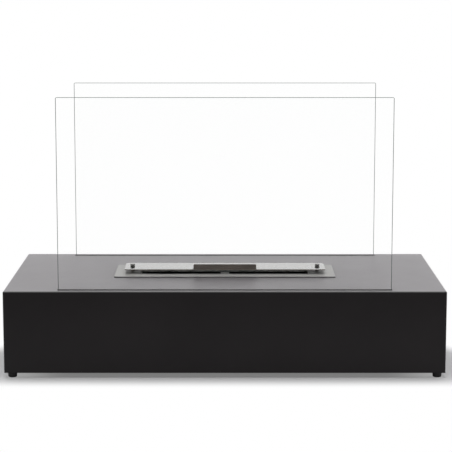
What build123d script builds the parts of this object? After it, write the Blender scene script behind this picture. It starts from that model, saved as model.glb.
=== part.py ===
from build123d import *
import os

# Free-standing bioethanol fireplace: a folded steel base on four rubber feet, two panes of
# glass that stand in lined channels, and a stainless burner that drops into the base and
# carries a raised lid on two posts. Millimetres, +Z up, the front faces -Y. The origin is
# on the floor, under the centre of the base.

os.makedirs("parts", exist_ok=True)

# --- Base ---------------------------------------------------------------------------------
BASE_WIDTH = 700.0
BASE_DEPTH = 350.0
SHELL_HEIGHT = 131.3
FLOOR_GAP = 8.7                 # from the floor up to the shell's lower edge
SHELL_SHEET = 2.0
FOLD_RADIUS = 2.5               # outer radius of the folded and ground edges
WELD_SLACK = 0.5                # bottom panel to shell wall

# --- Bottom panel and what holds it --------------------------------------------------------
PANEL_SHEET = 2.0
PANEL_RECESS = 1.0              # panel's underside above the shell's lower edge
PANEL_CORNER = 3.0
CLEAT_LENGTH = 30.0
CLEAT_LEG = 16.0
CLEAT_SHEET = 2.0
CLEAT_X = 170.0                 # long-side cleats, out from the middle
VENT_LENGTH = 60.0
VENT_WIDTH = 6.0
VENT_PITCH = 18.0
VENT_ROWS = 3
VENT_X = 230.0                  # centre of each group of air slots

# --- Feet ---------------------------------------------------------------------------------
FOOT_DIAMETER = 15.0
FOOT_TAPER = 0.6                # how much smaller the foot is across its lower end
FOOT_INSET = 12.2               # foot's axis in from the two sides of the base
FOOT_EDGE = 0.9                 # bevel round the lower rim
FOOT_POCKET_DEPTH = 4.2

# --- Fasteners ----------------------------------------------------------------------------
THREAD = 4.0                    # all machine screws, studs and nuts
THREAD_HOLE = 4.4
HEAD_DIAMETER = 7.6
HEAD_HEIGHT = 2.4
HEAD_BEVEL = 0.9                # how much smaller the head is across its top
SOCKET_FLATS = 2.5              # hex socket in the head
SOCKET_DEPTH = 1.4
NUT_FLATS = 7.0
NUT_HEIGHT = 3.2
SCREW_END = 1.2                 # thread showing past a nut

# --- Glass and its channels ---------------------------------------------------------------
GLASS_WIDTH = 526.5
GLASS_SHOWN = 304.5             # above the top of the base
GLASS_SUNK = 20.0               # inside the channel
GLASS_SHEET = 5.0
GLASS_INSET = 9.0               # pane's outer face in from the base's front or back
GLASS_CORNER = 2.0
GLASS_ARRIS = 0.5
GLASS_SLACK = 0.1               # pane to liner, each side
LINER_WALL = 1.4
LINER_FLOOR = 2.0
LINER_LIP = 0.6                 # liner's inner lip above the top
LINER_LIP_WIDTH = 3.0
CHANNEL_SHEET = 1.5
CHANNEL_LIP = 16.0              # inner fixing lip of the channel, under the top
CHANNEL_STUD_SPACING = 210.0
CHANNEL_STUDS = 3

# --- Ribs under the top and the heat shield ------------------------------------------------
RIB_CLEAR = 27.0                # edge of the burner's opening to the rib
RIB_WIDTH = 32.0
RIB_LEG = 24.0
RIB_SHEET = 1.5
RIB_END_GAP = 1.0               # rib's end to the lip of the glass channel
RIB_STUD_SPACING = 200.0
SHIELD_SHEET = 1.0
SHIELD_DEPTH = 126.0
SHIELD_AIR = 14.0               # under the burner's tank
SHIELD_SCREW_SPACING = 80.0
SHIELD_SCREW_DROP = 14.0        # below the underside of the top
SHIELD_SLOTS = 5

# --- Burner -------------------------------------------------------------------------------
TANK_WIDTH = 340.0
TANK_DEPTH = 88.0
PLATE_END_OVERLAP = 12.0        # burner plate past the tank at each end
PLATE_SIDE_OVERLAP = 10.0       # burner plate past the tank at the front and the back
BURNER_SHEET = 1.5
BURNER_CORNER = 1.5
TANK_HEIGHT = 58.0
TANK_SHEET = 1.2
TANK_CORNER = 8.0
CUTOUT_SLACK = 3.0              # tank to the edge of the opening in the base
SLOT_TO_POST = 14.9             # end of the flame slot to the post's axis
FLAME_SLOT_DEPTH = 57.0
SLOT_CORNER = 2.0
LIP_DROP = 6.5                  # turned-down rim of the flame slot
LIP_SHEET = 1.2
TONGUE_WIDTH = 14.3
TONGUE_LENGTH = 18.0
WOOL_HEIGHT = 36.0
WOOL_SLACK = 1.0
MESH_SHEET = 0.8
MESH_SLACK = 0.6
MESH_COLUMNS = 10
MESH_ROWS = 5
MESH_SLIT_LENGTH = 24.0
MESH_SLIT_WIDTH = 4.0
MESH_TAB_HEIGHT = 9.0
MESH_TAB_WIDTH = 12.0

# --- Lid and its posts --------------------------------------------------------------------
LID_END = 12.1                  # lid past each post's axis
LID_OVERLAP = 2.0               # lid past the flame slot at the front and the back
LID_SHEET = 1.5
LID_CORNER = 3.0
LID_GAP = 6.3                   # from the burner plate up to the lid
TAB_WIDTH = 104.0
TAB_RISE = 8.6                  # above the lid
TAB_CORNER = 2.0
TAB_BEND = 1.4                  # outer radius of the tab's fold
TAB_RELIEF = 1.2                # notch beside each end of the fold
POST_INSET = 15.6               # post's axis in from the tank's end
POST_DIAMETER = 6.8             # where it goes through the lid
POST_HEAD = 8.2
POST_HEAD_HEIGHT = 1.6
POST_SHOWN = 3.8                # head's top above the lid
POST_SLACK = 0.3                # post's head to the lid's hole, all round
SPACER_DIAMETER = 6.8
SPACER_RIM = 10.6               # rim that the lid rests on
SPACER_RIM_SHEET = 1.0
SPACER_SLACK = 0.1

# --- Heights and places worked out from the sizes above --------------------------------------
SHELL_TOP = FLOOR_GAP + SHELL_HEIGHT
UNDER_TOP = SHELL_TOP - SHELL_SHEET
PANEL_UNDER = FLOOR_GAP + PANEL_RECESS
PANEL_TOP = PANEL_UNDER + PANEL_SHEET
FOOT_X = BASE_WIDTH / 2 - FOOT_INSET
FOOT_Y = BASE_DEPTH / 2 - FOOT_INSET
INNER_WIDTH = BASE_WIDTH - 2 * SHELL_SHEET
INNER_DEPTH = BASE_DEPTH - 2 * SHELL_SHEET
CLEAT_Y = INNER_DEPTH / 2 - CLEAT_LEG / 2
CLEAT_END_X = INNER_WIDTH / 2 - CLEAT_LEG / 2

GLASS_Y = BASE_DEPTH / 2 - GLASS_INSET - GLASS_SHEET / 2
GLASS_BOTTOM = SHELL_TOP - GLASS_SUNK
LINER_INNER = GLASS_SHEET + 2 * GLASS_SLACK
LINER_OUTER = LINER_INNER + 2 * LINER_WALL
LINER_LENGTH = GLASS_WIDTH + 2 * GLASS_SLACK + 2 * LINER_WALL
LINER_BOTTOM = GLASS_BOTTOM - LINER_FLOOR
CHANNEL_OUTER = LINER_OUTER + 2 * CHANNEL_SHEET
CHANNEL_LENGTH = LINER_LENGTH + 2 * CHANNEL_SHEET
CHANNEL_BOTTOM = LINER_BOTTOM - CHANNEL_SHEET
LIP_INNER_Y = GLASS_Y - CHANNEL_OUTER / 2 - CHANNEL_LIP
LIP_STUD_Y = LIP_INNER_Y + CHANNEL_LIP / 2
RIB_LENGTH = 2 * (LIP_INNER_Y - RIB_END_GAP)

BURNER_WIDTH = TANK_WIDTH + 2 * PLATE_END_OVERLAP
BURNER_DEPTH = TANK_DEPTH + 2 * PLATE_SIDE_OVERLAP
POST_SPACING = TANK_WIDTH - 2 * POST_INSET
FLAME_SLOT_WIDTH = POST_SPACING - 2 * SLOT_TO_POST
LID_WIDTH = POST_SPACING + 2 * LID_END
LID_DEPTH = FLAME_SLOT_DEPTH + 2 * LID_OVERLAP
BURNER_TOP = SHELL_TOP + BURNER_SHEET
TANK_BOTTOM = SHELL_TOP - TANK_HEIGHT
TANK_FLOOR = TANK_BOTTOM + TANK_SHEET
WOOL_TOP = TANK_FLOOR + WOOL_HEIGHT
CUTOUT_WIDTH = TANK_WIDTH + 2 * CUTOUT_SLACK
CUTOUT_DEPTH = TANK_DEPTH + 2 * CUTOUT_SLACK
RIB_X = CUTOUT_WIDTH / 2 + RIB_CLEAR + RIB_WIDTH / 2
SHIELD_FLOOR = TANK_BOTTOM - SHIELD_AIR
SHIELD_WIDTH = 2 * RIB_X - RIB_WIDTH
SHIELD_SCREW_Z = UNDER_TOP - SHIELD_SCREW_DROP

LID_UNDER = BURNER_TOP + LID_GAP
LID_TOP = LID_UNDER + LID_SHEET
TAB_TOP = LID_TOP + TAB_RISE
POST_TOP = LID_TOP + POST_SHOWN
POST_HOLE = POST_HEAD + 2 * POST_SLACK

BASE_CORNERS = [(x * FOOT_X, y * FOOT_Y) for x in (-1, 1) for y in (-1, 1)]
CLEAT_POINTS = [(x * CLEAT_X, y * CLEAT_Y) for x in (-1, 1) for y in (-1, 1)]
CLEAT_POINTS += [(x * CLEAT_END_X, 0) for x in (-1, 1)]
RIB_STUD_POINTS = [(x * RIB_X, y * RIB_STUD_SPACING / 2) for x in (-1, 1) for y in (-1, 1)]
LIP_STUD_POINTS = [
    ((i - (CHANNEL_STUDS - 1) / 2) * CHANNEL_STUD_SPACING, y * LIP_STUD_Y)
    for i in range(CHANNEL_STUDS)
    for y in (-1, 1)
]
POST_POINTS = [(x * POST_SPACING / 2, 0) for x in (-1, 1)]


def save(builder, name):
    """Label a finished piece and write its file."""
    builder.part.label = name
    export_step(builder.part, f"parts/{name}.step")


def pan_head_screw(under_head, length):
    """A hex-socket pan-head screw along Z, head below under_head and end above it."""
    with BuildPart() as screw:
        with BuildSketch(Plane.XZ):
            with BuildLine():
                Polyline(
                    (0, under_head - HEAD_HEIGHT),
                    (HEAD_DIAMETER / 2 - HEAD_BEVEL, under_head - HEAD_HEIGHT),
                    (HEAD_DIAMETER / 2, under_head),
                    (THREAD / 2, under_head),
                    (THREAD / 2, under_head + length),
                    (0, under_head + length),
                    close=True,
                )
            make_face()
        revolve(axis=Axis.Z)
        with BuildSketch(Plane.XY.offset(under_head - HEAD_HEIGHT)):
            RegularPolygon(SOCKET_FLATS / 2, 6, major_radius=False)
        extrude(amount=SOCKET_DEPTH, mode=Mode.SUBTRACT)
    return screw.part


# === Base shell: one folded and welded box, open below =======================================
with BuildPart() as body_shell:
    with BuildSketch(Plane.XY.offset(FLOOR_GAP)):
        RectangleRounded(BASE_WIDTH, BASE_DEPTH, FOLD_RADIUS)
    extrude(amount=SHELL_HEIGHT)
    fillet(body_shell.faces().sort_by(Axis.Z)[-1].edges(), FOLD_RADIUS)
    with BuildSketch(Plane.XY.offset(FLOOR_GAP)):
        RectangleRounded(INNER_WIDTH, INNER_DEPTH, FOLD_RADIUS - SHELL_SHEET)
    extrude(amount=SHELL_HEIGHT - SHELL_SHEET, mode=Mode.SUBTRACT)
    # the burner's opening and the two slots for the glass
    with BuildSketch(Plane.XY.offset(UNDER_TOP)):
        RectangleRounded(CUTOUT_WIDTH, CUTOUT_DEPTH, TANK_CORNER + CUTOUT_SLACK)
        with Locations((0, GLASS_Y), (0, -GLASS_Y)):
            Rectangle(LINER_LENGTH, LINER_OUTER)
    extrude(amount=SHELL_SHEET, mode=Mode.SUBTRACT)
save(body_shell, "body_shell")

# === Bottom panel, recessed between the walls, with air slots =================================
with BuildPart() as bottom_panel:
    with BuildSketch(Plane.XY.offset(PANEL_UNDER)):
        RectangleRounded(INNER_WIDTH - 2 * WELD_SLACK, INNER_DEPTH - 2 * WELD_SLACK, PANEL_CORNER)
        with Locations((-VENT_X, 0), (VENT_X, 0)):
            with GridLocations(VENT_LENGTH, VENT_PITCH, 1, VENT_ROWS):
                SlotOverall(VENT_LENGTH, VENT_WIDTH, mode=Mode.SUBTRACT)
        with Locations(*BASE_CORNERS, *CLEAT_POINTS):
            Circle(THREAD_HOLE / 2, mode=Mode.SUBTRACT)
    extrude(amount=PANEL_SHEET)
save(bottom_panel, "bottom_panel")

# Angle cleats welded inside the walls; the panel's screws go up into them.
with BuildPart() as fixing_cleats:
    for side in (-1, 1):
        for x in (-CLEAT_X, CLEAT_X):
            with BuildSketch(Plane.YZ.offset(x - CLEAT_LENGTH / 2)):
                with BuildLine():
                    Polyline(
                        (side * INNER_DEPTH / 2, PANEL_TOP),
                        (side * (INNER_DEPTH / 2 - CLEAT_LEG), PANEL_TOP),
                        (side * (INNER_DEPTH / 2 - CLEAT_LEG), PANEL_TOP + CLEAT_SHEET),
                        (side * (INNER_DEPTH / 2 - CLEAT_SHEET), PANEL_TOP + CLEAT_SHEET),
                        (side * (INNER_DEPTH / 2 - CLEAT_SHEET), PANEL_TOP + CLEAT_LEG),
                        (side * INNER_DEPTH / 2, PANEL_TOP + CLEAT_LEG),
                        close=True,
                    )
                make_face()
            extrude(amount=CLEAT_LENGTH)
        with BuildSketch(Plane.XZ.offset(-CLEAT_LENGTH / 2)):
            with BuildLine():
                Polyline(
                    (side * INNER_WIDTH / 2, PANEL_TOP),
                    (side * (INNER_WIDTH / 2 - CLEAT_LEG), PANEL_TOP),
                    (side * (INNER_WIDTH / 2 - CLEAT_LEG), PANEL_TOP + CLEAT_SHEET),
                    (side * (INNER_WIDTH / 2 - CLEAT_SHEET), PANEL_TOP + CLEAT_SHEET),
                    (side * (INNER_WIDTH / 2 - CLEAT_SHEET), PANEL_TOP + CLEAT_LEG),
                    (side * INNER_WIDTH / 2, PANEL_TOP + CLEAT_LEG),
                    close=True,
                )
            make_face()
        extrude(amount=CLEAT_LENGTH)
    with Locations(*[(x, y, PANEL_TOP) for x, y in CLEAT_POINTS]):
        Cylinder(
            THREAD / 2,
            CLEAT_SHEET,
            align=(Align.CENTER, Align.CENTER, Align.MIN),
            mode=Mode.SUBTRACT,
        )
save(fixing_cleats, "fixing_cleats")

panel_screw = pan_head_screw(PANEL_UNDER, PANEL_SHEET + CLEAT_SHEET + SCREW_END)
with BuildPart() as panel_screws:
    with Locations(*CLEAT_POINTS):
        add(panel_screw)
save(panel_screws, "panel_screws")

# === Rubber feet, each held by a screw from below ============================================
foot_tip = FOOT_DIAMETER / 2 - FOOT_TAPER
pocket_radius = HEAD_DIAMETER / 2 + 0.5
with BuildPart() as rubber_foot:
    with BuildSketch(Plane.XZ) as foot_profile:
        with BuildLine():
            Polyline(
                (THREAD_HOLE / 2, FOOT_POCKET_DEPTH),
                (pocket_radius, FOOT_POCKET_DEPTH),
                (pocket_radius, 0),
                (foot_tip, 0),
                (FOOT_DIAMETER / 2, PANEL_UNDER - 1),
                (FOOT_DIAMETER / 2, PANEL_UNDER),
                (THREAD_HOLE / 2, PANEL_UNDER),
                close=True,
            )
        make_face()
        lower_rim = foot_profile.vertices().filter_by(lambda point: abs(point.X - foot_tip) < 0.01)
        chamfer(lower_rim, FOOT_EDGE)
    revolve(axis=Axis.Z)

FOOT_NAMES = ("foot_front_left", "foot_rear_left", "foot_front_right", "foot_rear_right")
for name, corner in zip(FOOT_NAMES, BASE_CORNERS):
    with BuildPart() as foot:
        with Locations(corner):
            add(rubber_foot.part)
    save(foot, name)

foot_grip = PANEL_TOP - FOOT_POCKET_DEPTH
foot_screw = pan_head_screw(FOOT_POCKET_DEPTH, foot_grip + NUT_HEIGHT + SCREW_END)
with BuildPart() as foot_screws:
    with Locations(*BASE_CORNERS):
        add(foot_screw)
save(foot_screws, "foot_screws")

with BuildPart() as foot_nuts:
    with BuildSketch(Plane.XY.offset(PANEL_TOP)):
        with Locations(*BASE_CORNERS):
            RegularPolygon(NUT_FLATS / 2, 6, major_radius=False)
            Circle(THREAD / 2, mode=Mode.SUBTRACT)
    extrude(amount=NUT_HEIGHT)
save(foot_nuts, "foot_nuts")

# === Channels, liners and panes: the rear set mirrors the front one ==========================
with BuildPart() as front_channel:
    with BuildSketch(Plane.XY.offset(CHANNEL_BOTTOM)):
        with Locations((0, -GLASS_Y)):
            Rectangle(CHANNEL_LENGTH, CHANNEL_OUTER)
    extrude(amount=UNDER_TOP - CHANNEL_BOTTOM)
    with BuildSketch(Plane.XY.offset(UNDER_TOP - CHANNEL_SHEET)):
        with Locations((0, -LIP_STUD_Y)):
            Rectangle(CHANNEL_LENGTH, CHANNEL_LIP)
    extrude(amount=CHANNEL_SHEET)
    with BuildSketch(Plane.XY.offset(LINER_BOTTOM)):
        with Locations((0, -GLASS_Y)):
            Rectangle(LINER_LENGTH, LINER_OUTER)
    extrude(amount=UNDER_TOP - LINER_BOTTOM, mode=Mode.SUBTRACT)
    with BuildSketch(Plane.XY.offset(UNDER_TOP - CHANNEL_SHEET)):
        with Locations(*[point for point in LIP_STUD_POINTS if point[1] < 0]):
            Circle(THREAD_HOLE / 2)
    extrude(amount=CHANNEL_SHEET, mode=Mode.SUBTRACT)
save(front_channel, "front_channel")

with BuildPart() as rear_channel:
    add(front_channel.part.mirror(Plane.XZ))
save(rear_channel, "rear_channel")

with BuildPart() as front_liner:
    with BuildSketch(Plane.XY.offset(LINER_BOTTOM)):
        with Locations((0, -GLASS_Y)):
            Rectangle(LINER_LENGTH, LINER_OUTER)
    extrude(amount=SHELL_TOP - LINER_BOTTOM)
    with BuildSketch(Plane.XY.offset(GLASS_BOTTOM)):
        with Locations((0, -GLASS_Y)):
            Rectangle(LINER_LENGTH - 2 * LINER_WALL, LINER_INNER)
    extrude(amount=GLASS_SUNK, mode=Mode.SUBTRACT)
    # lip that lies on the top, along the side of the pane that faces the burner
    with BuildSketch(Plane.XY.offset(SHELL_TOP)):
        with Locations((0, LINER_INNER / 2 - GLASS_Y)):
            Rectangle(LINER_LENGTH, LINER_LIP_WIDTH, align=(Align.CENTER, Align.MIN))
    extrude(amount=LINER_LIP)
save(front_liner, "front_liner")

with BuildPart() as rear_liner:
    add(front_liner.part.mirror(Plane.XZ))
save(rear_liner, "rear_liner")

with BuildPart() as front_glass:
    with BuildSketch(Plane.XZ.offset(GLASS_Y - GLASS_SHEET / 2)) as pane:
        with Locations((0, GLASS_BOTTOM + (GLASS_SUNK + GLASS_SHOWN) / 2)):
            RectangleRounded(GLASS_WIDTH, GLASS_SUNK + GLASS_SHOWN, GLASS_CORNER)
    extrude(amount=GLASS_SHEET)
    broad_faces = front_glass.faces().filter_by(Axis.Y).sort_by(SortBy.AREA)[-2:]
    chamfer(broad_faces.edges(), GLASS_ARRIS)
save(front_glass, "front_glass")

with BuildPart() as rear_glass:
    add(front_glass.part.mirror(Plane.XZ))
save(rear_glass, "rear_glass")

# === Ribs under the top, on welded studs =====================================================
for name, side in (("left_rib", -1), ("right_rib", 1)):
    with BuildPart() as rib:
        with BuildSketch(Plane.XZ.offset(-RIB_LENGTH / 2)):
            with Locations((side * RIB_X, UNDER_TOP)):
                Rectangle(RIB_WIDTH, RIB_LEG, align=(Align.CENTER, Align.MAX))
            with Locations((side * RIB_X, UNDER_TOP - RIB_SHEET)):
                Rectangle(
                    RIB_WIDTH - 2 * RIB_SHEET,
                    RIB_LEG - RIB_SHEET,
                    align=(Align.CENTER, Align.MAX),
                    mode=Mode.SUBTRACT,
                )
        extrude(amount=RIB_LENGTH)
        bend_lines = rib.edges().filter_by(Axis.Y).group_by(Axis.Z)[-1]
        fillet(bend_lines, RIB_SHEET)
        with Locations(*[(x, y, UNDER_TOP) for x, y in RIB_STUD_POINTS if x * side > 0]):
            Cylinder(
                THREAD_HOLE / 2,
                RIB_SHEET,
                align=(Align.CENTER, Align.CENTER, Align.MAX),
                mode=Mode.SUBTRACT,
            )
        inner_leg_x = side * (RIB_X - RIB_WIDTH / 2)
        for y in (-SHIELD_SCREW_SPACING / 2, SHIELD_SCREW_SPACING / 2):
            with BuildSketch(Plane.YZ.offset(inner_leg_x)):
                with Locations((y, SHIELD_SCREW_Z)):
                    Circle(THREAD / 2)
            extrude(amount=side * RIB_SHEET, mode=Mode.SUBTRACT)
    save(rib, name)

with BuildPart() as weld_studs:
    for points, grip in ((RIB_STUD_POINTS, RIB_SHEET), (LIP_STUD_POINTS, CHANNEL_SHEET)):
        with Locations(*[(x, y, UNDER_TOP) for x, y in points]):
            Cylinder(
                THREAD / 2,
                grip + NUT_HEIGHT + SCREW_END,
                align=(Align.CENTER, Align.CENTER, Align.MAX),
            )
save(weld_studs, "weld_studs")

with BuildPart() as stud_nuts:
    for points, grip in ((RIB_STUD_POINTS, RIB_SHEET), (LIP_STUD_POINTS, CHANNEL_SHEET)):
        with BuildSketch(Plane.XY.offset(UNDER_TOP - grip - NUT_HEIGHT)):
            with Locations(*points):
                RegularPolygon(NUT_FLATS / 2, 6, major_radius=False)
                Circle(THREAD / 2, mode=Mode.SUBTRACT)
        extrude(amount=NUT_HEIGHT)
save(stud_nuts, "stud_nuts")

# === Heat shield hung between the ribs, under the burner =====================================
with BuildPart() as heat_shield:
    with BuildSketch(Plane.XZ.offset(-SHIELD_DEPTH / 2)) as trough:
        with Locations((0, SHIELD_FLOOR)):
            Rectangle(SHIELD_WIDTH, UNDER_TOP - 2 - SHIELD_FLOOR, align=(Align.CENTER, Align.MIN))
        with Locations((0, SHIELD_FLOOR + SHIELD_SHEET)):
            Rectangle(
                SHIELD_WIDTH - 2 * SHIELD_SHEET,
                UNDER_TOP,
                align=(Align.CENTER, Align.MIN),
                mode=Mode.SUBTRACT,
            )
    extrude(amount=SHIELD_DEPTH)
    fillet(heat_shield.edges().filter_by(Axis.Y).group_by(Axis.Z)[0], 2 * SHIELD_SHEET)
    with BuildSketch(Plane.XY.offset(SHIELD_FLOOR)):
        with GridLocations(VENT_PITCH * 2, 1, SHIELD_SLOTS, 1):
            SlotOverall(VENT_LENGTH, VENT_WIDTH, rotation=90)
    extrude(amount=SHIELD_SHEET, mode=Mode.SUBTRACT)
    for side in (-1, 1):
        for y in (-SHIELD_SCREW_SPACING / 2, SHIELD_SCREW_SPACING / 2):
            with BuildSketch(Plane.YZ.offset(side * SHIELD_WIDTH / 2)):
                with Locations((y, SHIELD_SCREW_Z)):
                    Circle(THREAD_HOLE / 2)
            extrude(amount=-side * SHIELD_SHEET, mode=Mode.SUBTRACT)
save(heat_shield, "heat_shield")

shield_screw = pan_head_screw(0, SHIELD_SHEET + RIB_SHEET + SCREW_END)
head_face = SHIELD_WIDTH / 2 - SHIELD_SHEET
with BuildPart() as shield_screws:
    for side in (-1, 1):
        for y in (-SHIELD_SCREW_SPACING / 2, SHIELD_SCREW_SPACING / 2):
            with Locations(Location((side * head_face, y, SHIELD_SCREW_Z), (0, side * 90, 0))):
                add(shield_screw)
save(shield_screws, "shield_screws")

# === Burner: plate with the rimmed flame slot, tank, wool and its grid =======================
with BuildPart() as burner_plate:
    with BuildSketch(Plane.XY.offset(SHELL_TOP)):
        RectangleRounded(BURNER_WIDTH, BURNER_DEPTH, BURNER_CORNER)
        with Locations(*POST_POINTS):
            Circle(THREAD_HOLE / 2, mode=Mode.SUBTRACT)
    extrude(amount=BURNER_SHEET)
    fillet(burner_plate.faces().sort_by(Axis.Z)[-1].outer_wire().edges(), BURNER_SHEET / 3)
    # rim turned down round the slot
    with BuildSketch(Plane.XY.offset(BURNER_TOP - LIP_DROP)):
        RectangleRounded(
            FLAME_SLOT_WIDTH + 2 * LIP_SHEET, FLAME_SLOT_DEPTH + 2 * LIP_SHEET, SLOT_CORNER + LIP_SHEET
        )
    extrude(amount=LIP_DROP)
    with BuildSketch(Plane.XY.offset(BURNER_TOP - LIP_DROP)):
        RectangleRounded(FLAME_SLOT_WIDTH, FLAME_SLOT_DEPTH, SLOT_CORNER)
    extrude(amount=LIP_DROP, mode=Mode.SUBTRACT)
    # flat tongue left standing at the middle of the front rim
    with BuildSketch(Plane.XY.offset(SHELL_TOP)):
        with Locations((0, -FLAME_SLOT_DEPTH / 2)):
            Rectangle(TONGUE_WIDTH, TONGUE_LENGTH, align=(Align.CENTER, Align.MIN))
    extrude(amount=BURNER_SHEET)
    tongue_end = burner_plate.edges().filter_by(Axis.Z).filter_by(
        lambda edge: abs(edge.center().X) < TONGUE_WIDTH and abs(edge.center().Y) < FLAME_SLOT_DEPTH / 3
    )
    fillet(tongue_end, TONGUE_WIDTH / 6)
save(burner_plate, "burner_plate")

with BuildPart() as burner_tank:
    with BuildSketch(Plane.XY.offset(TANK_BOTTOM)):
        RectangleRounded(TANK_WIDTH, TANK_DEPTH, TANK_CORNER)
    extrude(amount=TANK_HEIGHT)
    fillet(burner_tank.faces().sort_by(Axis.Z)[0].edges(), TANK_CORNER / 2)
    offset(amount=-TANK_SHEET, openings=burner_tank.faces().sort_by(Axis.Z)[-1])
save(burner_tank, "burner_tank")

inside_width = TANK_WIDTH - 2 * TANK_SHEET
inside_depth = TANK_DEPTH - 2 * TANK_SHEET
with BuildPart() as ceramic_wool:
    with BuildSketch(Plane.XY.offset(TANK_FLOOR)):
        RectangleRounded(inside_width - 2 * WOOL_SLACK, inside_depth - 2 * WOOL_SLACK, TANK_CORNER)
    extrude(amount=WOOL_HEIGHT)
    fillet(ceramic_wool.faces().sort_by(Axis.Z)[0].edges(), TANK_CORNER / 2)
save(ceramic_wool, "ceramic_wool")

with BuildPart() as wool_grid:
    with BuildSketch(Plane.XY.offset(WOOL_TOP)):
        RectangleRounded(inside_width - 2 * MESH_SLACK, inside_depth - 2 * MESH_SLACK, TANK_CORNER)
        pitch_x = inside_width / (MESH_COLUMNS + 1)
        pitch_y = inside_depth / (MESH_ROWS + 1)
        with GridLocations(pitch_x, pitch_y, MESH_COLUMNS, MESH_ROWS):
            Rectangle(MESH_SLIT_LENGTH, MESH_SLIT_WIDTH, mode=Mode.SUBTRACT)
    extrude(amount=MESH_SHEET)
    for side in (-1, 1):
        with BuildSketch(Plane.XY.offset(WOOL_TOP)):
            with Locations((side * (inside_width / 2 - MESH_SLACK), 0)):
                Rectangle(
                    MESH_SHEET, MESH_TAB_WIDTH, align=(Align.MAX if side > 0 else Align.MIN, Align.CENTER)
                )
        extrude(amount=MESH_TAB_HEIGHT)
save(wool_grid, "wool_grid")

# === Lid, its two posts and the spacers it rests on ==========================================
neck_top = POST_TOP - POST_HEAD_HEIGHT
with BuildPart() as lid_post:
    with BuildSketch(Plane.XZ):
        with BuildLine():
            Polyline(
                (0, SHELL_TOP - NUT_HEIGHT - SCREW_END),
                (THREAD / 2, SHELL_TOP - NUT_HEIGHT - SCREW_END),
                (THREAD / 2, LID_UNDER),
                (POST_DIAMETER / 2, LID_UNDER),
                (POST_DIAMETER / 2, LID_TOP + 0.4),
                (POST_HEAD / 2, neck_top),
                (POST_HEAD / 2, POST_TOP - 0.4),
                (POST_HEAD / 2 - 0.4, POST_TOP),
                (0, POST_TOP),
                close=True,
            )
        make_face()
    revolve(axis=Axis.Z)
with BuildPart() as lid_posts:
    with Locations(*POST_POINTS):
        add(lid_post.part)
save(lid_posts, "lid_posts")

with BuildPart() as post_spacers:
    with BuildSketch(Plane.XY.offset(BURNER_TOP)):
        with Locations(*POST_POINTS):
            Circle(SPACER_DIAMETER / 2)
    extrude(amount=LID_GAP)
    with BuildSketch(Plane.XY.offset(LID_UNDER - SPACER_RIM_SHEET)):
        with Locations(*POST_POINTS):
            Circle(SPACER_RIM / 2)
    extrude(amount=SPACER_RIM_SHEET)
    with BuildSketch(Plane.XY.offset(BURNER_TOP)):
        with Locations(*POST_POINTS):
            Circle(THREAD / 2 + SPACER_SLACK)
    extrude(amount=LID_GAP, mode=Mode.SUBTRACT)
save(post_spacers, "post_spacers")

with BuildPart() as post_nuts:
    with BuildSketch(Plane.XY.offset(SHELL_TOP - NUT_HEIGHT)):
        with Locations(*POST_POINTS):
            RegularPolygon(NUT_FLATS / 2, 6, major_radius=False)
            Circle(THREAD / 2, mode=Mode.SUBTRACT)
    extrude(amount=NUT_HEIGHT)
save(post_nuts, "post_nuts")

with BuildPart() as snuffer_lid:
    with BuildSketch(Plane.XY.offset(LID_UNDER)):
        RectangleRounded(LID_WIDTH, LID_DEPTH, LID_CORNER)
        with Locations(*POST_POINTS):
            Circle(POST_HOLE / 2, mode=Mode.SUBTRACT)
        relief_x = TAB_WIDTH / 2 + TAB_RELIEF / 2
        with Locations((-relief_x, -LID_DEPTH / 2), (relief_x, -LID_DEPTH / 2)):
            Rectangle(
                TAB_RELIEF,
                LID_SHEET + TAB_RELIEF,
                align=(Align.CENTER, Align.MIN),
                mode=Mode.SUBTRACT,
            )
    extrude(amount=LID_SHEET)
    # tab folded up from the front edge
    with BuildSketch(Plane.XZ.offset(LID_DEPTH / 2)):
        with Locations((0, LID_UNDER)):
            Rectangle(TAB_WIDTH, TAB_TOP - LID_UNDER, align=(Align.CENTER, Align.MIN))
    extrude(amount=-LID_SHEET)
    tab_corners = snuffer_lid.edges().filter_by(Axis.Y).group_by(Axis.Z)[-1]
    fillet(tab_corners, TAB_CORNER)
    tab_fold = snuffer_lid.edges().filter_by(Axis.X).filter_by(
        lambda edge: abs(edge.center().Y + LID_DEPTH / 2) < 0.01
        and abs(edge.center().Z - LID_UNDER) < 0.01
        and abs(edge.center().X) < 1
    )
    fillet(tab_fold, TAB_BEND)
save(snuffer_lid, "snuffer_lid")
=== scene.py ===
import math

import bmesh
import bpy
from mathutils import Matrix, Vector, noise


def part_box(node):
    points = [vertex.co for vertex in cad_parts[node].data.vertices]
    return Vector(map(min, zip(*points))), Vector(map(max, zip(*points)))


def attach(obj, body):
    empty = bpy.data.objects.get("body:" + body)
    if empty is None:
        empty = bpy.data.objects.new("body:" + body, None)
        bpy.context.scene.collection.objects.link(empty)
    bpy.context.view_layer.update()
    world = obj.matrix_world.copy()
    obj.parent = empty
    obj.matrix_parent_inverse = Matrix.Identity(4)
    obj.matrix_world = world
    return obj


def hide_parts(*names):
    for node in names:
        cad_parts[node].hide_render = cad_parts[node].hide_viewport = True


# Bioethanol fireplace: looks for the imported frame. Metres, the same frame as the CAD.

# --- Camera, as fitted to the photograph's edges --------------------------------------------
IMAGE_WIDTH = 452
FOCAL_PIXELS = 1680.1
SENSOR_WIDTH = 36.0
CAMERA_PLACE = (0.00187, -2.7703, 0.64731)
CAMERA_PITCH = 8.826            # degrees below the horizon
CAMERA_CLIP = (0.05, 50.0)      # nearest and farthest that it sees

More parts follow.
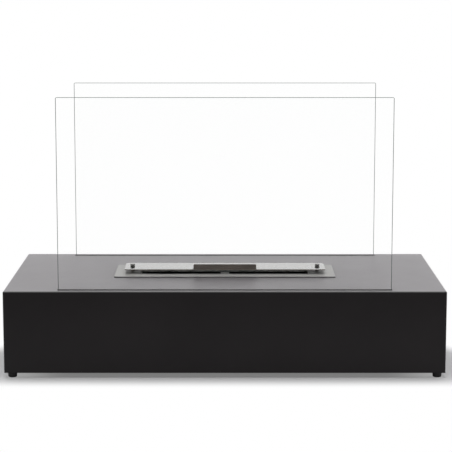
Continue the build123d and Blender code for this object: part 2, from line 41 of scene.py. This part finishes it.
# --- Floor and its shadow -------------------------------------------------------------------
FLOOR_SIDE = 1.8                # half its width, and how far it reaches behind
FLOOR_FRONT = 0.7               # how far it reaches in front: beyond it the studio is dim
FLOOR_COLOUR = (0.52, 0.52, 0.525)
MIRRORED_COLOUR = (0.06, 0.06, 0.06)  # what a pane mirrors of the floor, kept dim
SHADOW_CORE = (0.345, 0.15)     # half the size of the rectangle that the shadow fades from
SHADOW_TAPER = 0.5              # how fast that rectangle narrows behind the middle
SHADOW_FADE = (0.025, 0.09)     # how far from it the shadow starts and ends to fade
SHADOW_LIFT = 0.18              # share of white in the deepest shadow
SHADOW_LIFT_FADE = (0.008, 0.03)  # how far from the rectangle that share is full and gone
SHADOW_BEHIND = (0.0, 0.05)     # along Y, where that share starts and is full at any distance
SHADOW_ENDS = (0.25, 0.345)     # along X, where the shadow starts to lighten and has done so
SHADOW_END_LIFT = 0.34          # share of white at its ends
SHADOW_SIDES = (0.342, 0.352)   # along X, where it darkens again beside the base
SHADOW_SIDE_KEEP = 0.2          # what it keeps there of its share of white

# --- World light and lamps ------------------------------------------------------------------
FILL_LEVEL = 0.7                # share of the walls' light that dull surfaces get
DIM_EDGE = (-0.5, 0.3)          # where the dim side ends, along Y and upward
DIM_RISE = 0.5                  # how much sooner it ends overhead
DIM_LEVEL = 0.12                # the dim side of the studio, behind the camera
FRONT_FILL = 1.2                # world light from the camera's side, low, for dull surfaces only
FRONT_EDGE = (-0.5, -0.9)       # along Y, where that part starts and is full
LAMP_AIM = (0.0, 0.0, 0.1)      # the point that every lamp looks at
SOFTBOXES = {                   # place, size, watts, whether gloss shows it
    "overhead": ((0.0, 0.25, 1.9), (1.6, 1.0), 20.0, False),
    "front_top": ((0.0, -1.25, 1.75), (1.8, 0.7), 12.0, True),
    "left": ((-1.7, -1.0, 1.0), (0.5, 1.2), 5.0, True),
    "right": ((1.7, -1.0, 1.0), (0.5, 1.2), 5.0, True),
}

# --- Burner ---------------------------------------------------------------------------------
SLOT_REACH = (0.15, 0.035)      # half the size of a box round the flame slot and its rim
TANK_SHEET = 0.0012             # thickness of the tank's walls

# --- Wool block -----------------------------------------------------------------------------
WOOL_CELL = 0.006               # about the side of the cells that its faces are cut into
WOOL_CORNER = 0.006             # radius of its edges and corners
WOOL_LUMPS = ((70.0, 0.0016), (210.0, 0.0008))  # waves per metre and depth of its hollows

# --- Node levels ----------------------------------------------------------------------------
NOISE_BAND = (0.3, 0.7)         # where nearly all values of a noise lie
WHOLE_BAND = (0.0, 1.0)         # for levels that run from 0 to 1
ACROSS_BAND = (0.3, 0.8)        # part of a normal along an axis: edges below it, faces above
ONE_BOUNCE = 0.5                # between no bounce of a ray and one
MIX_LEVEL = 0                   # a colour mix node's entries, by their places, and its result
MIX_FIRST = 6
MIX_SECOND = 7
MIX_RESULT = 2


class Nodes:
    """A node tree, with short ways to add to it."""

    def __init__(self, tree):
        self.tree = tree

    def node(self, kind, **settings):
        made = self.tree.nodes.new("ShaderNode" + kind)
        for name, value in settings.items():
            setattr(made, name, value)
        return made

    def feed(self, entry, value):
        """Sets the entry to a plain value, or links another node's output to it."""
        if isinstance(value, bpy.types.NodeSocket):
            self.tree.links.new(value, entry)
        else:
            entry.default_value = value

    def math(self, operation, first, second=0.0, clamp=False):
        """One operation on numbers, each of them plain or a node's output."""
        made = self.node("Math", operation=operation, use_clamp=clamp)
        self.feed(made.inputs[0], first)
        self.feed(made.inputs[1], second)
        return made.outputs["Value"]

    def vector(self, operation, first, second=(0.0, 0.0, 0.0)):
        """One operation on vectors, for those that give a vector."""
        made = self.node("VectorMath", operation=operation)
        self.feed(made.inputs[0], first)
        self.feed(made.inputs[1], second)
        return made.outputs["Vector"]

    def parts(self, vector):
        """The X, Y and Z of a vector."""
        made = self.node("SeparateXYZ")
        self.feed(made.inputs["Vector"], vector)
        return made.outputs

    def ranged(self, value, low=0.0, high=1.0, band=NOISE_BAND, curve="LINEAR"):
        """Over the band, value becomes low to high; outside it stays at low or high."""
        made = self.node("MapRange", interpolation_type=curve)
        self.feed(made.inputs["From Min"], band[0])
        self.feed(made.inputs["From Max"], band[1])
        self.feed(made.inputs["To Min"], low)
        self.feed(made.inputs["To Max"], high)
        self.feed(made.inputs["Value"], value)
        return made.outputs["Result"]

    def smooth(self, value, band, low, high):
        """As ranged, with soft ends to the band."""
        return self.ranged(value, low, high, band, "SMOOTHSTEP")

    def mixed(self, level, first, second):
        """A colour that is first where level is 0 and second where it is 1."""
        made = self.node("Mix", data_type="RGBA")
        self.feed(made.inputs[MIX_FIRST], first)
        self.feed(made.inputs[MIX_SECOND], second)
        self.feed(made.inputs[MIX_LEVEL], level)
        return made.outputs[MIX_RESULT]


class Finish(Nodes):
    """A node material: a base look, and the fine detail that is laid over it."""

    def __init__(self, name, colour, roughness, metallic=0.0, **sockets):
        self.material = bpy.data.materials.new(name)
        self.material.use_nodes = True
        super().__init__(self.material.node_tree)
        self.shader = self.tree.nodes["Principled BSDF"].inputs
        self.colour = colour
        self.shader["Base Color"].default_value = opaque(colour)
        self.shader["Roughness"].default_value = roughness
        self.shader["Metallic"].default_value = metallic
        for socket, value in sockets.items():
            self.shader[socket.replace("_", " ")].default_value = value
        self.place = self.node("TexCoord").outputs["Object"]
        self.relief = None

    def grain(self, scale, stretch=(1.0, 1.0, 1.0), detail=2.0, roughness=0.5):
        """Noise about 0.5: scale is in waves per metre, times stretch along each axis."""
        mapping = self.node("Mapping")
        self.feed(mapping.inputs["Scale"], stretch)
        self.feed(mapping.inputs["Vector"], self.place)
        texture = self.node("TexNoise")
        self.feed(texture.inputs["Scale"], scale)
        self.feed(texture.inputs["Detail"], detail)
        self.feed(texture.inputs["Roughness"], roughness)
        self.feed(texture.inputs["Vector"], mapping.outputs["Vector"])
        return texture.outputs["Fac"]

    def cells(self, scale):
        """A random level for each cell of a crystal-like pattern."""
        texture = self.node("TexVoronoi")
        self.feed(texture.inputs["Scale"], scale)
        self.feed(texture.inputs["Vector"], self.place)
        return texture.outputs["Color"]

    def normal(self, axis):
        """How far the surface looks along the axis, from -1 to 1."""
        return self.parts(self.node("NewGeometry").outputs["Normal"])[axis]

    def facing(self, axis, band=ACROSS_BAND):
        """1 on faces that look along the axis, either way, and 0 on those that look across it."""
        return self.ranged(self.math("ABSOLUTE", self.normal(axis)), 0.0, 1.0, band)

    def outside(self, half):
        """0 nearer to the middle than half, along both X and Y, and 1 beyond."""
        size = self.parts(self.vector("ABSOLUTE", self.place))
        beyond = [self.math("GREATER_THAN", size[axis], limit) for axis, limit in zip("XY", half)]
        return self.math("MAXIMUM", *beyond)

    def tint(self, level, dark, light):
        """The base colour runs from dark to light times itself."""
        ends = [opaque([part * share for part in self.colour]) for share in (dark, light)]
        self.feed(self.shader["Base Color"], self.mixed(level, *ends))

    def blend(self, keep, colour):
        """The base colour so far where keep is 1, and colour where it is 0."""
        entry = self.shader["Base Color"]
        so_far = entry.links[0].from_socket
        self.feed(entry, self.mixed(keep, opaque(colour), so_far))

    def edges(self, axis, colour, half=None, band=ACROSS_BAND):
        """Faces that look across the axis take another colour, except nearer than half."""
        keep = self.facing(axis, band)
        if half:
            inside = self.ranged(self.outside(half), 1.0, 0.0, WHOLE_BAND)
            keep = self.math("MAXIMUM", keep, inside)
        self.blend(keep, colour)
        return keep

    def painted_fold_highlight(self, colour, flat, steep):
        """Painted highlight: faces that lean take another colour, between two bands of how far
        they look up.
        """
        above = self.ranged(self.normal("Z"), 0.0, 1.0, flat)
        below = self.ranged(self.normal("Z"), 1.0, 0.0, steep)
        self.blend(self.math("MAXIMUM", above, below), colour)

    def gloss(self, level):
        """The roughness follows the level."""
        self.feed(self.shader["Roughness"], level)

    def bump(self, level, depth):
        """Adds relief of that depth in metres over what is there already."""
        step = self.node("Bump")
        self.feed(step.inputs["Distance"], depth)
        self.feed(step.inputs["Height"], level)
        if self.relief:
            self.feed(step.inputs["Normal"], self.relief)
        self.relief = step.outputs["Normal"]
        self.feed(self.shader["Normal"], self.relief)


def opaque(colour):
    """The colour with full alpha."""
    return (*colour, 1.0)


# --- Finishes, one function per material slot -----------------------------------------------
def powder_black():
    """Satin powder coat: near black, with fine orange peel, and a painted highlight along the
    folds.
    """
    finish = Finish(
        "powder_black",
        (0.0090, 0.0076, 0.0081),
        0.3,
        Specular_IOR_Level=0.18,
        Sheen_Tint=(1.0, 0.95, 1.0, 1.0),
        Sheen_Weight=0.76,
        Sheen_Roughness=0.3,
    )
    finish.tint(finish.ranged(finish.grain(9.0, detail=4.0)), 0.9, 1.12)
    # painted highlight: the whole fold is a little lighter, and a narrow band of it beside the top
    # lighter still
    finish.painted_fold_highlight((0.03, 0.03, 0.03), flat=(0.9, 0.99), steep=(0.05, 0.3))
    finish.painted_fold_highlight((0.16, 0.16, 0.16), flat=(0.985, 0.998), steep=(0.6, 0.9))
    finish.gloss(finish.ranged(finish.grain(26.0, detail=3.0), 0.29, 0.31))
    finish.bump(finish.grain(850.0, detail=1.0), 0.000012)
    return finish.material


def zinc_sheet():
    """Zinc-plated sheet with small spangles and rolling marks."""
    finish = Finish("zinc_sheet", (0.50, 0.51, 0.525), 0.42, metallic=1.0)
    spangles = finish.cells(160.0)
    finish.tint(spangles, 0.82, 1.1)
    finish.gloss(finish.ranged(spangles, 0.34, 0.5, WHOLE_BAND))
    finish.bump(finish.grain(60.0, stretch=(1.0, 24.0, 24.0)), 0.00002)
    return finish.material


def shield_aluminium():
    """Mill-finish sheet: fine rolling lines along X."""
    finish = Finish("shield_aluminium", (0.74, 0.75, 0.76), 0.36, metallic=1.0)
    lines = finish.grain(40.0, stretch=(0.4, 36.0, 36.0), detail=3.0)
    finish.tint(finish.ranged(lines), 0.9, 1.05)
    finish.gloss(finish.ranged(lines, 0.28, 0.46))
    finish.bump(lines, 0.00002)
    return finish.material


def black_silicone():
    """Matt silicone, greyed by dust and by a painted sheen."""
    finish = Finish("black_silicone", (0.08, 0.08, 0.08), 0.6, Specular_IOR_Level=0.35)
    finish.tint(finish.ranged(finish.grain(120.0)), 0.85, 1.2)
    finish.gloss(finish.ranged(finish.grain(420.0), 0.52, 0.68))
    finish.bump(finish.grain(1100.0), 0.00002)
    return finish.material


def fastener_steel():
    """Bright zinc plating with a slight cloud."""
    finish = Finish("fastener_steel", (0.60, 0.60, 0.61), 0.3, metallic=1.0)
    finish.tint(finish.ranged(finish.grain(300.0, detail=3.0)), 0.8, 1.08)
    finish.gloss(finish.ranged(finish.grain(700.0, detail=2.0), 0.22, 0.4))
    finish.bump(finish.grain(2200.0), 0.000008)
    return finish.material


def foot_rubber():
    """Moulded rubber, dull, with a fine grain."""
    finish = Finish("foot_rubber", (0.010, 0.009, 0.0092), 0.55, Specular_IOR_Level=0.3)
    finish.tint(finish.ranged(finish.grain(200.0, detail=3.0)), 0.8, 1.25)
    finish.gloss(finish.ranged(finish.grain(600.0), 0.46, 0.64))
    finish.bump(finish.grain(1600.0, detail=3.0), 0.00004)
    return finish.material


def clear_glass():
    """Clear tempered glass with a trace of cloud: its ground edges are dull and greenish."""
    finish = Finish(
        "clear_glass",
        (1.0, 1.0, 1.0),
        0.0,
        Transmission_Weight=1.0,
        IOR=1.15,
        Specular_Tint=(0.2, 0.2, 0.2, 1.0),
    )
    finish.tint(finish.ranged(finish.grain(3.0, detail=3.0)), 0.998, 1.0)
    clear = finish.edges("Y", (0.06, 0.08, 0.072), band=(0.9, 0.98))
    finish.gloss(finish.ranged(clear, 0.6, 0.0, WHOLE_BAND))
    finish.feed(finish.shader["Transmission Weight"], finish.ranged(clear, 0.3, 1.0, WHOLE_BAND))
    body = finish.node("VolumeAbsorption")
    finish.feed(body.inputs["Color"], opaque((0.72, 0.86, 0.80)))
    finish.feed(body.inputs["Density"], 2.0)
    output = finish.tree.nodes["Material Output"]
    finish.feed(output.inputs["Volume"], body.outputs["Volume"])
    return finish.material


def satin_stainless():
    """Ground stainless sheet: short lines along the plate, cut edges painted dark as shade, and
    slot rim walls painted bright as light.
    """
    finish = Finish(
        "satin_stainless",
        (0.33, 0.326, 0.317),
        0.35,
        metallic=0.3,
        Specular_IOR_Level=0.2,
        Specular_Tint=(0.6, 0.6, 0.6, 1.0),
    )
    lines = finish.grain(90.0, stretch=(0.22, 26.0, 26.0), detail=4.0, roughness=0.65)
    finish.tint(finish.ranged(lines), 0.9, 1.06)
    # painted shade: the plate's cut edges are near black, for the dark that they mirror
    finish.edges("Z", (0.012, 0.0115, 0.011), SLOT_REACH)
    # painted light: the walls of the slot are bright and not metallic
    plate = finish.math("MAXIMUM", finish.facing("Z"), finish.outside(SLOT_REACH))
    finish.blend(plate, (0.95, 0.94, 0.92))
    finish.feed(finish.shader["Metallic"], finish.ranged(plate, 0.0, 0.3, WHOLE_BAND))
    finish.gloss(finish.ranged(lines, 0.3, 0.4))
    finish.bump(lines, 0.00002)
    return finish.material


def tank_stainless():
    """Plain cold-rolled stainless sheet with handling marks, and painted shade inside the tank."""
    finish = Finish("tank_stainless", (0.50, 0.495, 0.485), 0.34, metallic=1.0)
    finish.tint(finish.ranged(finish.grain(22.0, detail=5.0)), 0.86, 1.06)
    # painted shade: inside the tank's walls, the grid too, the colour is darker
    wall_middle = [side - TANK_SHEET / 2 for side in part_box("burner_tank")[1][:2]]
    finish.blend(finish.outside(wall_middle), (0.15, 0.146, 0.14))
    finish.gloss(finish.ranged(finish.grain(45.0, detail=4.0), 0.28, 0.42))
    finish.bump(finish.grain(70.0, stretch=(1.0, 20.0, 20.0)), 0.00001)
    return finish.material


def wool():
    """Soft ceramic fibre, off-white, matted."""
    finish = Finish("wool", (0.80, 0.78, 0.72), 0.95, Sheen_Weight=0.3, Sheen_Roughness=0.6)
    finish.tint(finish.ranged(finish.grain(150.0, detail=5.0)), 0.78, 1.06)
    mat = finish.grain(500.0, stretch=(1.0, 2.2, 0.7), detail=6.0, roughness=0.7)
    finish.bump(mat, 0.0007)
    fibres = finish.grain(1800.0, stretch=(0.5, 1.6, 1.0), detail=3.0)
    finish.bump(fibres, 0.0002)
    return finish.material


def post_steel():
    """Turned stainless: fine rings round the axis."""
    finish = Finish("post_steel", (0.31, 0.305, 0.295), 0.23, metallic=1.0)
    rings = finish.grain(500.0, stretch=(0.1, 0.1, 8.0), detail=2.0)
    finish.tint(finish.ranged(rings), 0.88, 1.06)
    finish.gloss(finish.ranged(rings, 0.16, 0.3))
    finish.bump(rings, 0.000008)
    return finish.material


def polished_stainless():
    """Polished stainless sheet with faint polishing lines, soft smears, and painted shade on its
    upright faces.
    """
    finish = Finish(
        "polished_stainless",
        (0.60, 0.595, 0.585),
        0.07,
        metallic=1.0,
        Specular_Tint=(0.80, 0.80, 0.80, 1.0),
    )
    lines = finish.grain(120.0, stretch=(0.12, 30.0, 30.0), detail=3.0)
    finish.tint(finish.ranged(lines), 0.97, 1.02)
    # painted shade: faces that look across Z, the tab among them, are darker and warmer, for the
    # dim studio they mirror
    finish.edges("Z", (0.40, 0.36, 0.31))
    smears = finish.grain(14.0, stretch=(1.0, 2.0, 1.0), detail=3.0)
    finish.gloss(finish.ranged(smears, 0.045, 0.11))
    finish.bump(lines, 0.0000015)
    return finish.material


FINISHES = {
    powder_black: ["body_shell", "bottom_panel", "fixing_cleats"],
    zinc_sheet: ["left_rib", "right_rib", "front_channel", "rear_channel"],
    shield_aluminium: ["heat_shield"],
    black_silicone: ["front_liner", "rear_liner"],
    fastener_steel: [
        "weld_studs",
        "stud_nuts",
        "panel_screws",
        "foot_screws",
        "foot_nuts",
        "shield_screws",
        "post_nuts",
    ],
    foot_rubber: ["foot_front_left", "foot_rear_left", "foot_front_right", "foot_rear_right"],
    clear_glass: ["front_glass", "rear_glass"],
    satin_stainless: ["burner_plate"],
    tank_stainless: ["burner_tank", "wool_grid"],
    wool: ["ceramic_wool"],
    post_steel: ["lid_posts", "post_spacers"],
    polished_stainless: ["snuffer_lid"],
}


def dress(nodes):
    """Gives every CAD node its finish; returns the materials by the names of their functions."""
    made = {}
    for make_finish, names in FINISHES.items():
        material = make_finish()
        made[make_finish.__name__] = material
        for name in names:
            node = nodes[name]
            if not node.material_slots:
                node.data.materials.append(material)
            for entry in node.material_slots:
                entry.material = material
    return made


# --- Wool -----------------------------------------------------------------------------------
def cut_cube(counts):
    """A cube of size 1 whose faces are cut into that many cells along each axis."""
    mesh = bmesh.new()
    bmesh.ops.create_cube(mesh, size=1.0)
    for axis, count in enumerate(counts):
        across = Vector((0.0, 0.0, 0.0))
        across[axis] = 1.0
        for i in range(1, count):
            everything = mesh.verts[:] + mesh.edges[:] + mesh.faces[:]
            place = across * (i / count - 0.5)
            bmesh.ops.bisect_plane(mesh, geom=everything, plane_co=place, plane_no=across)
    return mesh


def matted(place, half):
    """Where a point on the sides of a box of that half size lies once it is round and lumpy."""
    core = half - Vector((WOOL_CORNER, WOOL_CORNER, WOOL_CORNER))
    inner = Vector([max(-limit, min(limit, at)) for at, limit in zip(place, core)])
    out = (place - inner).normalized()
    surface = inner + out * WOOL_CORNER
    hollow = sum(depth * (0.5 + 0.5 * noise.noise(surface * waves)) for waves, depth in WOOL_LUMPS)
    return surface - out * hollow


def wool_block(material):
    """The matted block of fibre that fills the tank under the grid."""
    low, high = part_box("ceramic_wool")
    size = high - low
    mesh = cut_cube([max(2, round(side / WOOL_CELL)) for side in size])
    for vert in mesh.verts:
        vert.co = (low + high) / 2 + matted(vert.co * size, size / 2)
    data = bpy.data.meshes.new("wool_block")
    mesh.to_mesh(data)
    mesh.free()
    for face in data.polygons:
        face.use_smooth = True
    data.materials.append(material)
    block = bpy.data.objects.new("wool_block", data)
    bpy.context.scene.collection.objects.link(block)
    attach(block, "burner")
    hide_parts("ceramic_wool")


# --- Studio ---------------------------------------------------------------------------------
def studio_world():
    """White where the camera looks, dim on the camera's side for gloss, and plain fill light."""
    world = bpy.data.worlds.new("studio")
    bpy.context.scene.world = world
    world.use_nodes = True
    world.cycles.sampling_method = "NONE"
    nodes = Nodes(world.node_tree)
    path = nodes.node("LightPath").outputs
    way = nodes.parts(nodes.node("TexCoord").outputs["Generated"])

    # level of the studio's walls in each direction, and the light that dull surfaces get of it
    backwards = nodes.math("ADD", way["Y"], nodes.math("MULTIPLY", way["Z"], DIM_RISE))
    walls = nodes.smooth(backwards, DIM_EDGE, DIM_LEVEL, 1.0)
    front = nodes.smooth(way["Y"], FRONT_EDGE, 0.0, FRONT_FILL)
    fill = nodes.math("ADD", nodes.math("MULTIPLY", walls, FILL_LEVEL), front)

    # what is shown: the walls in gloss, and plain white straight or through glass
    reflected = nodes.math("GREATER_THAN", path["Glossy Depth"], ONE_BOUNCE)
    dimming = nodes.math("MULTIPLY", reflected, nodes.math("SUBTRACT", 1.0, walls))
    shown = nodes.math("SUBTRACT", 1.0, dimming)

    # 1 for rays that have met no dull surface, so that they get what is shown
    sharp = nodes.math("ADD", path["Is Camera Ray"], path["Is Glossy Ray"])
    sharp = nodes.math("ADD", sharp, path["Is Transmission Ray"], clamp=True)
    undiffused = nodes.math("LESS_THAN", path["Diffuse Depth"], ONE_BOUNCE)
    seen = nodes.math("MULTIPLY", sharp, undiffused)
    extra = nodes.math("MULTIPLY", seen, nodes.math("SUBTRACT", shown, fill))

    background = nodes.tree.nodes["Background"].inputs
    nodes.feed(background["Strength"], nodes.math("ADD", extra, fill))
    nodes.feed(background["Color"], opaque((1.0, 1.0, 1.0)))


def shadow_fade(nodes):
    """The floor's share of plain white at each place, a painted light that shapes the shadow:
    least in the shadow, 1 or more outside.
    """
    place = nodes.node("NewGeometry").outputs["Position"]
    back = nodes.parts(place)["Y"]
    spread = nodes.vector("ABSOLUTE", place)
    sideways = nodes.parts(spread)["X"]

    # distance from the rectangle, which narrows behind the middle
    behind = nodes.math("MAXIMUM", back, 0.0)
    narrowing = nodes.node("CombineXYZ")
    nodes.feed(narrowing.inputs["X"], nodes.math("MULTIPLY", behind, SHADOW_TAPER))
    grown = nodes.vector("ADD", spread, narrowing.outputs["Vector"])
    beyond = nodes.vector("SUBTRACT", grown, (*SHADOW_CORE, 0.0))
    outside = nodes.node("VectorMath", operation="LENGTH")
    nodes.feed(outside.inputs[0], nodes.vector("MAXIMUM", beyond))
    away = outside.outputs["Value"]

    # painted light in the shadow itself: a share of white, more at its ends, little beside the
    # base
    lift = nodes.smooth(sideways, SHADOW_ENDS, SHADOW_LIFT, SHADOW_END_LIFT)
    lift = nodes.math("MULTIPLY", lift, nodes.smooth(away, SHADOW_LIFT_FADE, 1.0, 0.0))
    beside = nodes.smooth(sideways, SHADOW_SIDES, 1.0, SHADOW_SIDE_KEEP)
    lift = nodes.math("MULTIPLY", lift, beside)
    lift = nodes.math("MAXIMUM", lift, nodes.smooth(back, SHADOW_BEHIND, 0.0, SHADOW_LIFT))
    return nodes.math("ADD", nodes.smooth(away, SHADOW_FADE, 0.0, 1.0), lift)


def floor_material():
    """Pale floor with the object's shadow, lightened and shaped by painted white, that turns pure
    white away from it.
    """
    material = bpy.data.materials.new("floor")
    material.use_nodes = True
    material.cycles.emission_sampling = "NONE"
    nodes = Nodes(material.node_tree)
    nodes.tree.nodes.clear()
    path = nodes.node("LightPath").outputs

    # a pane mirrors the floor dim, and the floor shows white only straight or through a pane
    reflected = nodes.math("GREATER_THAN", path["Glossy Depth"], ONE_BOUNCE)
    mirrored = nodes.math("MULTIPLY", reflected, path["Is Singular Ray"])
    through = nodes.math("SUBTRACT", path["Is Transmission Ray"], mirrored)
    seen = nodes.math("MAXIMUM", path["Is Camera Ray"], through)

    paper = nodes.node("BsdfDiffuse")
    tone = nodes.mixed(mirrored, opaque(FLOOR_COLOUR), opaque(MIRRORED_COLOUR))
    nodes.feed(paper.inputs["Color"], tone)
    mix = nodes.node("MixShader")
    nodes.feed(mix.inputs["Fac"], nodes.math("MULTIPLY", shadow_fade(nodes), seen))
    nodes.feed(mix.inputs[1], paper.outputs["BSDF"])
    nodes.feed(mix.inputs[2], nodes.node("Emission").outputs["Emission"])
    nodes.feed(nodes.node("OutputMaterial").inputs["Surface"], mix.outputs["Shader"])
    return material


def stage_floor():
    """The floor under the feet, which is no part of the object."""
    data = bpy.data.meshes.new("floor")
    corners = [
        (-FLOOR_SIDE, -FLOOR_FRONT, 0.0),
        (FLOOR_SIDE, -FLOOR_FRONT, 0.0),
        (FLOOR_SIDE, FLOOR_SIDE, 0.0),
        (-FLOOR_SIDE, FLOOR_SIDE, 0.0),
    ]
    data.from_pydata(corners, [], [(0, 1, 2, 3)])
    data.materials.append(floor_material())
    floor = bpy.data.objects.new("floor", data)
    bpy.context.scene.collection.objects.link(floor)


def softboxes():
    """The area lamps: the camera sees none of them, and gloss shows all but the overhead one."""
    for name, (place, size, watts, glossy) in SOFTBOXES.items():
        lamp = bpy.data.lights.new(name, "AREA")
        lamp.shape = "RECTANGLE"
        lamp.size, lamp.size_y = size
        lamp.energy = watts
        softbox = bpy.data.objects.new(name, lamp)
        softbox.location = place
        direction = Vector(LAMP_AIM) - Vector(place)
        softbox.rotation_euler = direction.to_track_quat("-Z", "Y").to_euler()
        softbox.visible_camera = False
        softbox.visible_glossy = glossy
        softbox.visible_transmission = False
        bpy.context.scene.collection.objects.link(softbox)


def photo_camera():
    """The camera that shows the object as the photograph does."""
    lens = bpy.data.cameras.new("photo_camera")
    lens.sensor_width = SENSOR_WIDTH
    lens.lens = FOCAL_PIXELS / IMAGE_WIDTH * SENSOR_WIDTH
    lens.clip_start, lens.clip_end = CAMERA_CLIP
    camera = bpy.data.objects.new("photo_camera", lens)
    camera.location = CAMERA_PLACE
    camera.rotation_euler = (math.radians(90.0 - CAMERA_PITCH), 0.0, 0.0)
    bpy.context.scene.collection.objects.link(camera)
    bpy.context.scene.camera = camera


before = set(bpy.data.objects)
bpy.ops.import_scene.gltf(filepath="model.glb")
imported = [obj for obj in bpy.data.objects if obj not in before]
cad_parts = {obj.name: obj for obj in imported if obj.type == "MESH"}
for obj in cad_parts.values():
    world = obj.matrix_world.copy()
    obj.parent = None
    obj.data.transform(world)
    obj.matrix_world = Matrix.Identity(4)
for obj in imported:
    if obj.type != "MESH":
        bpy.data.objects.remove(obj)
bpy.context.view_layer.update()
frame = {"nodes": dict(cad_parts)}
materials = dress(frame["nodes"])
wool_block(materials["wool"])
studio_world()
stage_floor()
softboxes()
photo_camera()
bpy.context.scene.view_settings.view_transform = "Standard"
bpy.context.view_layer.update()
